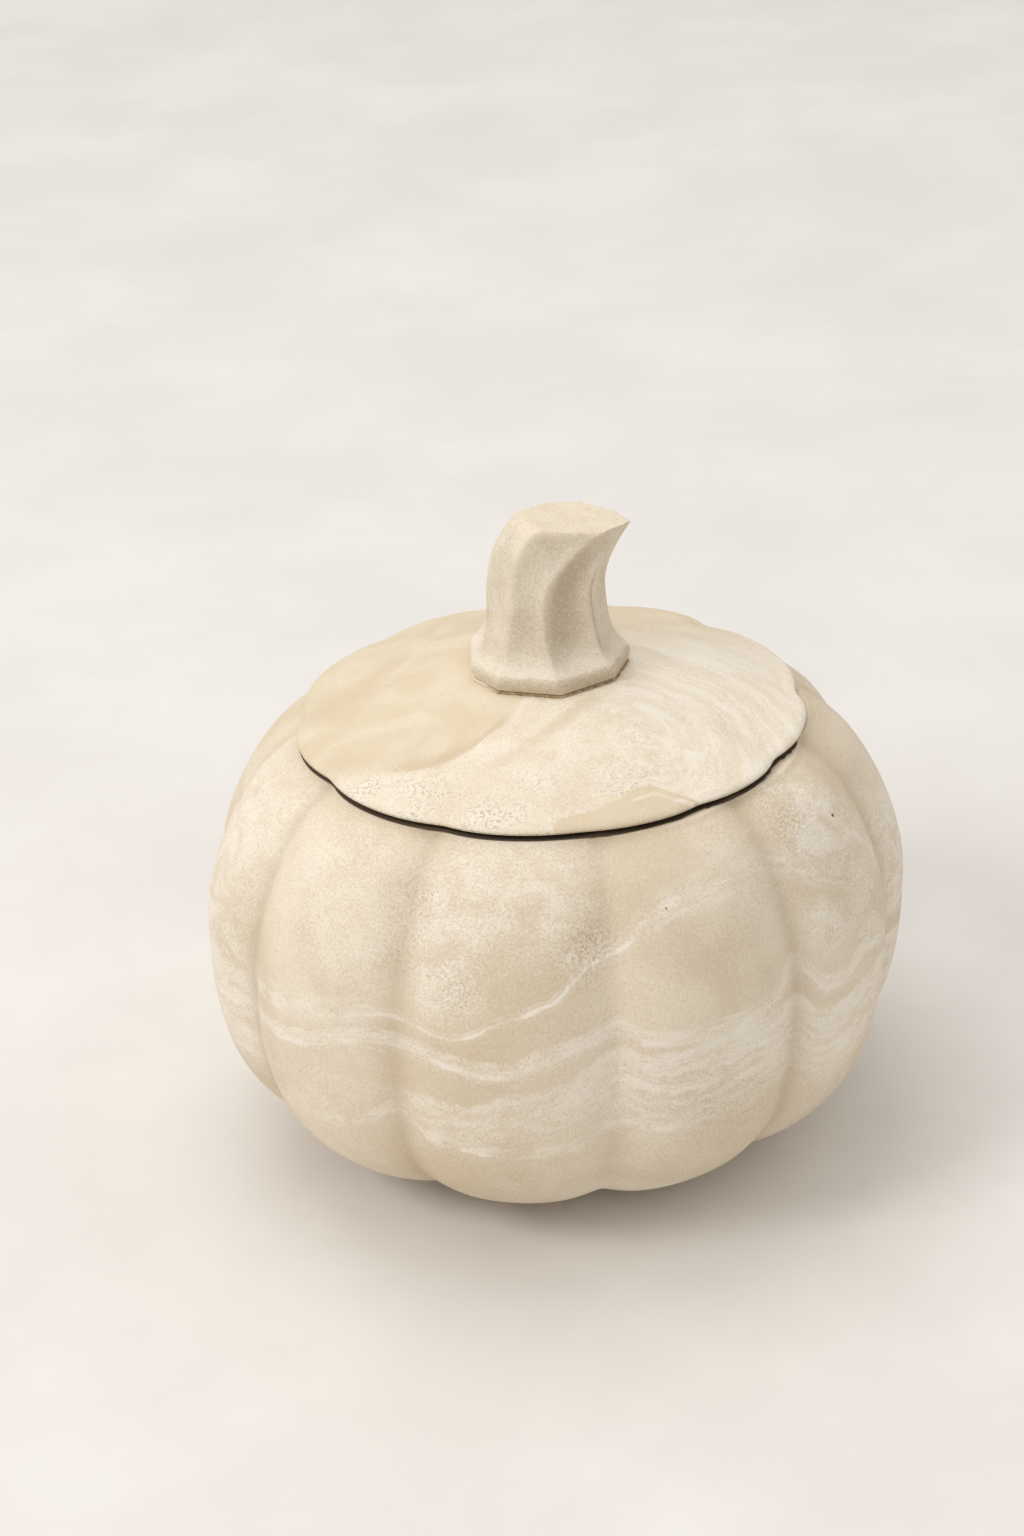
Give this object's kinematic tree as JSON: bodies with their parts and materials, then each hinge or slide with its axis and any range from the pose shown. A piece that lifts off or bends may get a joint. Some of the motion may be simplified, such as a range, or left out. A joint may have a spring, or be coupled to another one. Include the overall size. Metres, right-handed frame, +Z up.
{
  "type": "lidded pumpkin jar",
  "caption": "Decorative jar shaped like a ribbed pumpkin: hollow lobed body, lift-off domed lid with a scalloped edge, and a bent fluted stem as the lid's handle.",
  "frame": {"origin": "centre of the resting face, on the underside of the felt disc", "axes": "+Z up through the jar, -Y towards the front, +X towards the side that the stem's tip bends to"},
  "size_m": [0.1691, 0.169, 0.1585],
  "materials": {
    "jar_marbled": "matte, marbled cream and beige, unglazed",
    "lid_marbled": "matte, marbled cream and beige, unglazed",
    "stem_cast": "matte, streaked beige, unglazed",
    "adhesive": "cured adhesive, matte, grainy",
    "felt": "pressed felt"
  },
  "bodies": {
    "jar": {"jar_body": "jar_marbled", "felt_base": "felt"},
    "lid_assembly": {"lid": "lid_marbled", "stem_handle": "stem_cast", "stem_adhesive": "adhesive"}
  },
  "joints": [
    {"name": "lid_lift", "type": "slide", "parent": "jar", "child": "lid_assembly", "axis": [0, 0, 1], "range_m": [0, 0.12]}
  ]
}
